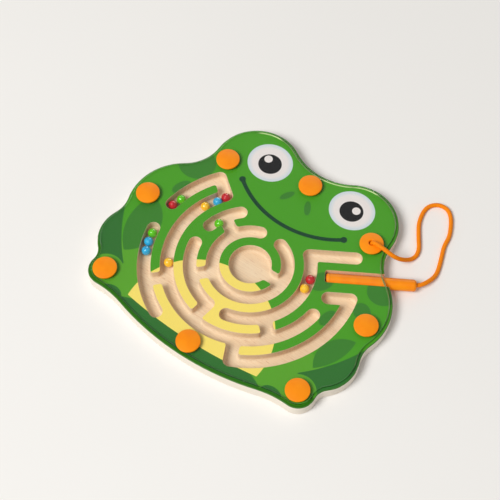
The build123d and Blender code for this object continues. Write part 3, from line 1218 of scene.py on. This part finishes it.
@dataclass
class TetherCord:
    """The braided cord from the plug to the pen, with its two knots."""

    route: tuple[tuple[float, float, float], ...] = (
        (72.38, 71.40, 8.5),
        (72.38, 71.40, 17.4),
        (75.2, 71.2, 20.0),
        (84.6, 70.8, 19.3),
        (96.8, 71.3, 14.6),
        (104.7, 83.4, 1.9),
        (106.7, 93.6, 1.9),
        (96.9, 108.4, 1.9),
        (90.4, 120.0, 1.9),
        (88.3, 135.8, 1.9),
        (97.0, 144.4, 1.9),
        (109.1, 142.4, 1.9),
        (119.5, 122.8, 1.9),
        (120.3, 110.7, 1.9),
        (124.4, 99.8, 1.9),
        (129.2, 84.5, 1.9),
        (127.9, 74.8, 4.6),
        (123.72, 64.62, 6.55),
        (116.96, 60.72, 6.55),
    )
    mouth: tuple[float, float, float] = (72.38, 71.40, 17.4)
    radius: float = 1.85
    length: float = 222.0
    strands: int = 6
    pitch: float = 11.0
    relief: float = 0.09
    strand_wave: float = 0.38
    step: float = 0.25
    sides: int = 40
    curve_order: int = 3
    curve_steps: int = 24
    bend_from: tuple[float, float, float] = (77.7, 71.3, 0.0)
    bend_to: tuple[float, float, float] = (104.2, 80.9, 0.0)

    def centreline(self) -> list[Vector]:
        """Follow the route with a smooth curve.

        Returns:
            Evenly spaced points of the curve, in metres.
        """
        curve = bpy.data.curves.new("cord_route", "CURVE")
        curve.dimensions = "3D"
        spline = curve.splines.new("NURBS")
        spline.points.add(len(self.route) - 1)
        for point, place in zip(spline.points, self.route):
            point.co = (*(Vector(place) * MM), 1.0)
        spline.order_u = self.curve_order
        spline.use_endpoint_u = True
        spline.resolution_u = self.curve_steps
        guide = bpy.data.objects.new("cord_route", curve)
        followed = bpy.data.meshes.new_from_object(guide)
        points = [vertex.co.copy() for vertex in followed.vertices]
        bpy.data.objects.remove(guide)
        bpy.data.curves.remove(curve)
        bpy.data.meshes.remove(followed)
        return self.spaced(points)

    def spaced(self, points: Sequence[Vector]) -> list[Vector]:
        """Space points evenly along the line through them.

        Args:
            points: Points along a line, in metres.

        Returns:
            Points about a step apart, in metres.
        """
        reach = [0.0]
        for before, after in pairwise(points):
            reach.append(reach[-1] + (after - before).length)
        count = round(reach[-1] / (self.step * MM))
        spaced, span = [], 0
        for index in range(count + 1):
            along = reach[-1] * index / count
            while span < len(points) - 2 and reach[span + 1] < along:
                span += 1
            share = (along - reach[span]) / (reach[span + 1] - reach[span])
            spaced.append(points[span].lerp(points[span + 1], share))
        return spaced

    def frames(self, line: Sequence[Vector]) -> list[tuple[Vector, Vector]]:
        """Find two directions across the cord at each point, which turn as little as they can.

        Args:
            line: Points along the cord, in metres.

        Returns:
            The two directions for each point.
        """
        before = [line[0], *line[:-1]]
        after = [*line[1:], line[-1]]
        tangents = [(end - start).normalized() for start, end in zip(before, after)]
        side = tangents[0].orthogonal().normalized()
        crossed = []
        for tangent in tangents:
            side = (side - tangent * side.dot(tangent)).normalized()
            crossed.append((side, tangent.cross(side)))
        return crossed

    def braid(self, turn: float, along: float) -> tuple[float, float]:
        """Give the braid's height and which of its two helices lies on top.

        Args:
            turn: Angle round the cord, in radians.
            along: Distance along the cord, in millimetres.

        Returns:
            The height from 0 to 1, and then 1 where the rising helix is on top or 0 where the
            falling one is.
        """
        climb = 2 * math.pi * self.strands * along / self.pitch
        rising = math.cos((self.strands * turn + climb) / 2) ** 2
        falling = math.cos((self.strands * turn - climb) / 2) ** 2
        over = self.strand_wave * math.cos(self.strands * turn)
        upper = rising * (1 - self.strand_wave + over)
        lower = falling * (1 - self.strand_wave - over)
        return max(upper, lower), float(upper >= lower)

    def build_mesh(self, line: Sequence[Vector]) -> bpy.types.Mesh:
        """Make the braided tube with a cap at each end.

        Args:
            line: Points along the cord, in metres.

        Returns:
            The tube's mesh.
        """
        points, faces, heights, leans = [], [], [], []
        for ring, (centre, (side, across)) in enumerate(zip(line, self.frames(line))):
            along = ring * self.step
            for k in range(self.sides):
                turn = 2 * math.pi * k / self.sides
                height, lean = self.braid(turn, along)
                reach = self.radius * MM * (1 - self.relief * (1 - height))
                points.append(centre + (side * math.cos(turn) + across * math.sin(turn)) * reach)
                heights.append(height)
                leans.append(lean)
        last = len(line) - 1
        for ring in range(last):
            for k in range(self.sides):
                following = (k + 1) % self.sides
                first, second = ring * self.sides, (ring + 1) * self.sides
                faces.append((first + k, first + following, second + following, second + k))
        for ring, turned in ((0, True), (last, False)):
            cap = list(range(ring * self.sides, (ring + 1) * self.sides))
            faces.append(tuple(reversed(cap)) if turned else tuple(cap))
        mesh = bpy.data.meshes.new("braided_cord")
        mesh.from_pydata(points, [], faces)
        self.write_attributes(mesh, heights, leans)
        mesh.polygons.foreach_set("use_smooth", [True] * len(mesh.polygons))
        return mesh

    def write_attributes(
        self, mesh: bpy.types.Mesh, heights: list[float], leans: list[float]
    ) -> None:
        """Keep the braid's height, its upper helix and both helices' phases for the material.

        Args:
            mesh: The tube's mesh.
            heights: The braid's height at each vertex, from 0 to 1.
            leans: Which helix is on top at each vertex, as braid gives it.
        """
        for name, values in (("relief", heights), ("lean", leans)):
            mesh.attributes.new(name, "FLOAT", "POINT").data.foreach_set("value", values)
        helices = mesh.uv_layers.new(name="helices")
        for face in mesh.polygons:
            seam = face.index % self.sides == self.sides - 1
            for corner in face.loop_indices:
                vertex = mesh.loops[corner].vertex_index
                ring, k = divmod(vertex, self.sides)
                turn = 2 * math.pi * (self.sides if seam and k == 0 else k) / self.sides
                climb = 2 * math.pi * self.strands * ring * self.step / self.pitch
                helices.data[corner].uv = (
                    (self.strands * turn + climb) / (2 * math.pi),
                    (self.strands * turn - climb) / (2 * math.pi),
                )

    def build(self) -> None:
        """Model the cord, and dress its knots."""
        line = self.centreline()
        cord = bpy.data.objects.new("braided_cord", self.build_mesh(line))
        bpy.context.scene.collection.objects.link(cord)
        dress(cord, BraidedYarn().build())
        knotted = KnottedYarn().build()
        knots = [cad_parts[name] for name in ("anchor_knot", "pen_knot")]
        for knot in knots:
            dress(knot, knotted)
        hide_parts("cord")
        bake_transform(cord)
        log.info("cord braided: %d faces", len(cord.data.polygons))


@dataclass
class Studio:
    """Pale floor, soft light and the camera."""

    floor_colour: Rgba = paint(241, 239, 235)
    floor_half_width: float = 3.0
    floor_drop: float = 0.05
    floor_cells: Cells = (0.004, 0.004, 0.004)
    floor_tone: float = 0.985
    floor_share: float = 0.03
    floor_roughness: float = 0.9
    floor_specular: float = 0.1
    world_colour: Rgba = paint(250, 248, 246)
    world_strength: float = 0.38
    key_azimuth: float = -20.0
    key_elevation: float = 52.5
    key_distance: float = 4.0
    key_width: float = 1.9
    key_power: float = 131.0
    rim_azimuth: float = 200.0
    rim_elevation: float = 26.0
    rim_distance: float = 1.6
    rim_size: tuple[float, float] = (1.6, 0.25)
    rim_power: float = 12.0
    camera_azimuth: float = 34.2
    camera_elevation: float = 61.06
    camera_distance: float = 1.0722
    camera_roll: float = 0.52
    camera_lens: float = 93.88
    sensor_width: float = 36.0
    target: tuple[float, float, float] = (-6.67, 9.39, 15.0)

    def outwards(self, azimuth: float, elevation: float) -> Vector:
        """Give the direction from the board to a place above the horizon.

        Args:
            azimuth: Where the place lies round the board, in degrees.
            elevation: How high it lies, in degrees.

        Returns:
            The direction, one metre long.
        """
        turn, rise = math.radians(azimuth), math.radians(elevation)
        level = math.cos(rise)
        return Vector((math.sin(turn) * level, -math.cos(turn) * level, math.sin(rise)))

    def build_floor(self) -> None:
        """Lay a pale floor."""
        bpy.ops.object.select_all(action="DESELECT")
        place = (0, 0, -self.floor_drop * MM)
        bpy.ops.mesh.primitive_plane_add(size=2 * self.floor_half_width, location=place)
        floor = bpy.context.object
        floor.name = "floor"
        shader = Shader("pale_floor")
        tone = self.floor_tone + shader.noise(self.floor_cells) * self.floor_share
        links = {
            "Base Color": shader.shade(self.floor_colour, tone),
            "Roughness": self.floor_roughness,
            "Specular IOR Level": self.floor_specular,
        }
        dress(floor, shader.finish(shader.plastic(links)))

    def hang(
        self, name: str, azimuth: float, elevation: float, distance: float
    ) -> bpy.types.Object:
        """Hang an area light that shines at the board.

        Args:
            name: The light's name.
            azimuth: Where it hangs round the board, in degrees.
            elevation: How high it hangs, in degrees.
            distance: How far away it hangs, in metres.

        Returns:
            The light, with no size or power set.
        """
        away = self.outwards(azimuth, elevation)
        bpy.ops.object.light_add(type="AREA", location=away * distance)
        light = bpy.context.object
        light.name = name
        light.rotation_mode = "QUATERNION"
        light.rotation_quaternion = away.to_track_quat("Z", "Y")
        return light

    def build_lights(self) -> None:
        """Hang a soft key light and a strip that only glints in gloss. The world fills the rest."""
        key = self.hang("key_light", self.key_azimuth, self.key_elevation, self.key_distance)
        key.data.shape = "DISK"
        key.data.size = self.key_width
        key.data.energy = self.key_power
        rim = self.hang("rim_strip", self.rim_azimuth, self.rim_elevation, self.rim_distance)
        rim.data.shape = "RECTANGLE"
        rim.data.size, rim.data.size_y = self.rim_size
        rim.data.energy = self.rim_power
        rim.visible_diffuse = False
        world = bpy.data.worlds.new("studio")
        bpy.context.scene.world = world
        world.use_nodes = True
        backdrop = world.node_tree.nodes["Background"]
        backdrop.inputs["Color"].default_value = self.world_colour
        backdrop.inputs["Strength"].default_value = self.world_strength

    def build_camera(self) -> None:
        """Set the camera at the photograph's angle."""
        away = self.outwards(self.camera_azimuth, self.camera_elevation)
        lens = bpy.data.cameras.new("camera")
        lens.lens = self.camera_lens
        lens.sensor_width = self.sensor_width
        camera = bpy.data.objects.new("camera", lens)
        bpy.context.scene.collection.objects.link(camera)
        camera.location = Vector(self.target) * MM + away * self.camera_distance
        camera.rotation_mode = "QUATERNION"
        roll = Quaternion((0, 0, 1), math.radians(self.camera_roll))
        camera.rotation_quaternion = away.to_track_quat("Z", "Y") @ roll
        bpy.context.scene.camera = camera

    def build(self) -> None:
        """Set up the whole studio."""
        self.build_floor()
        self.build_lights()
        self.build_camera()
        bpy.context.scene.view_settings.view_transform = "Standard"
        log.info("studio set")


def main() -> None:
    """Build the studio and every sub-assembly in order."""
    logging.basicConfig(level=logging.INFO, format="%(message)s")
    for assembly in (Studio(), TetherCord(), Board(), Balls(), Pen()):
        assembly.build()


if __name__ == "__main__":
    main()
